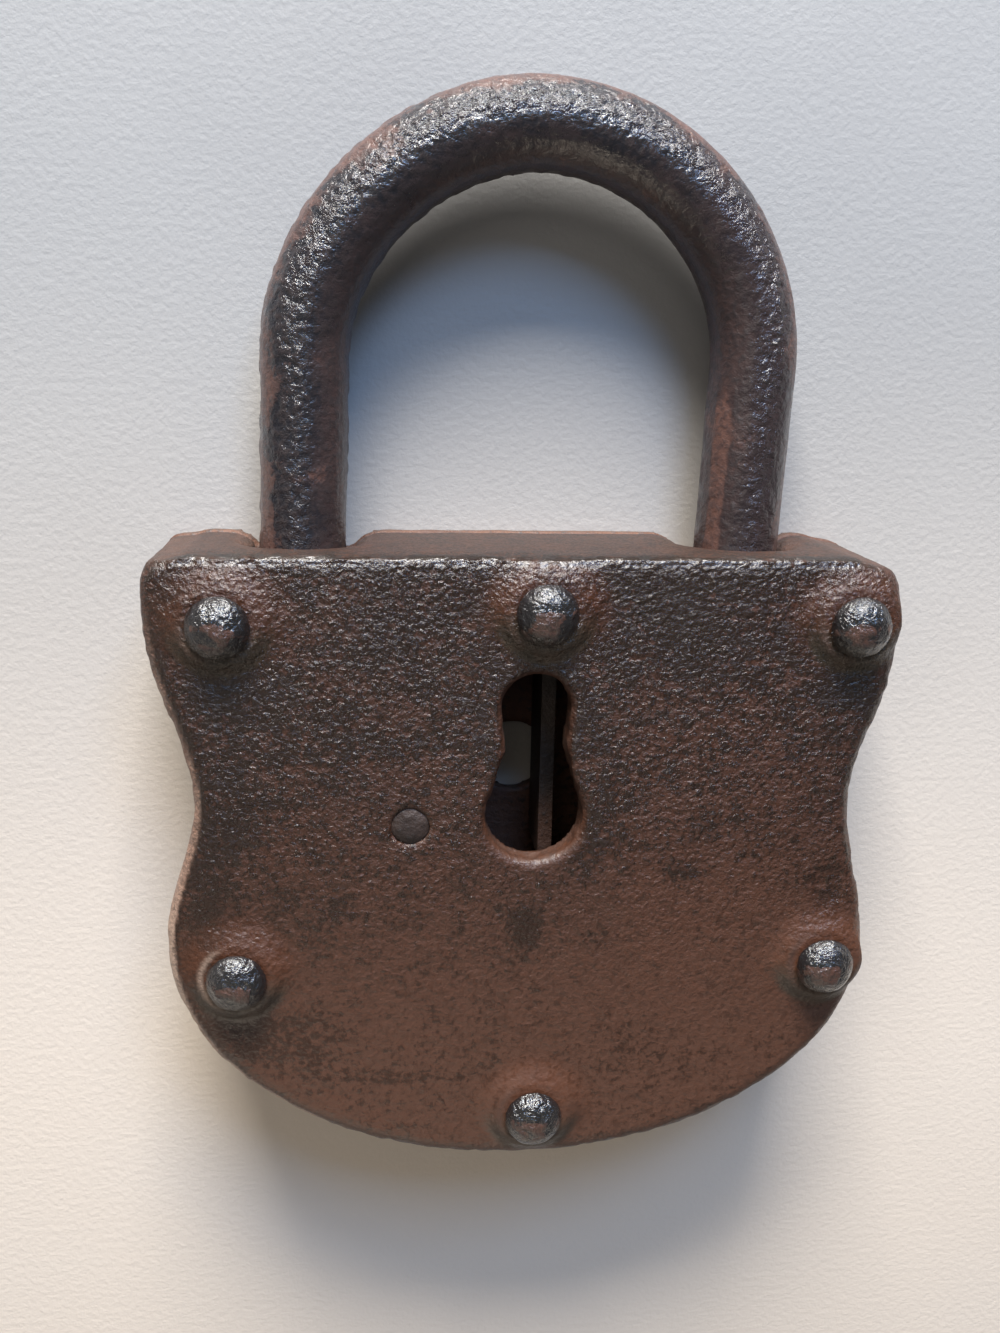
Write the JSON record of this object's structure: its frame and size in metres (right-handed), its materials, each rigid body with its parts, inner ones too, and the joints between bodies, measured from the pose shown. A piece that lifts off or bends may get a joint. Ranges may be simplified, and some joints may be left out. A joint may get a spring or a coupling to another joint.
{
  "type": "padlock",
  "caption": "Cast-iron antique-pattern padlock with scalloped riveted case, keyhole, sliding bolt and lifting hooped shackle, lying on its flat back.",
  "frame": {"origin": "centre of the bounding box's footprint, on the back plate's outer face", "axes": "+X to the right and +Y up the lock towards the shackle's bow, both as seen from the front; +Z out of the front face, so the lock lies on its flat back"},
  "size_m": [0.112, 0.1654, 0.0318],
  "materials": {
    "case_iron": "worn red-brown rust over black paint, sand-cast grain",
    "plate_iron": "flat rusty brown",
    "rivet_iron": "glossy black with rust patches",
    "shackle_iron": "hammered glossy black with brown rust edges",
    "bolt_iron": "dull brown rust",
    "spring_steel": "dark tarnished spring steel"
  },
  "bodies": {
    "case": {"front_case": "case_iron", "back_plate": "plate_iron", "rivet_top_left": "rivet_iron", "rivet_top_centre": "rivet_iron", "rivet_top_right": "rivet_iron", "rivet_side_left": "rivet_iron", "rivet_side_right": "rivet_iron", "rivet_bottom": "rivet_iron", "shackle_stop_pin": "bolt_iron", "bolt_stud": "rivet_iron", "nose_stud": "bolt_iron", "bolt_spring": "spring_steel"},
    "shackle": {"shackle": "shackle_iron"},
    "bolt": {"bolt": "bolt_iron"}
  },
  "joints": [
    {"name": "shackle_lift", "type": "slide", "parent": "case", "child": "shackle", "axis": [0.0297, 0.9996, 0], "range_m": [0, 0.028]},
    {"name": "bolt_throw", "type": "slide", "parent": "case", "child": "bolt", "axis": [1, 0, 0], "range_m": [0, 0.005]}
  ]
}
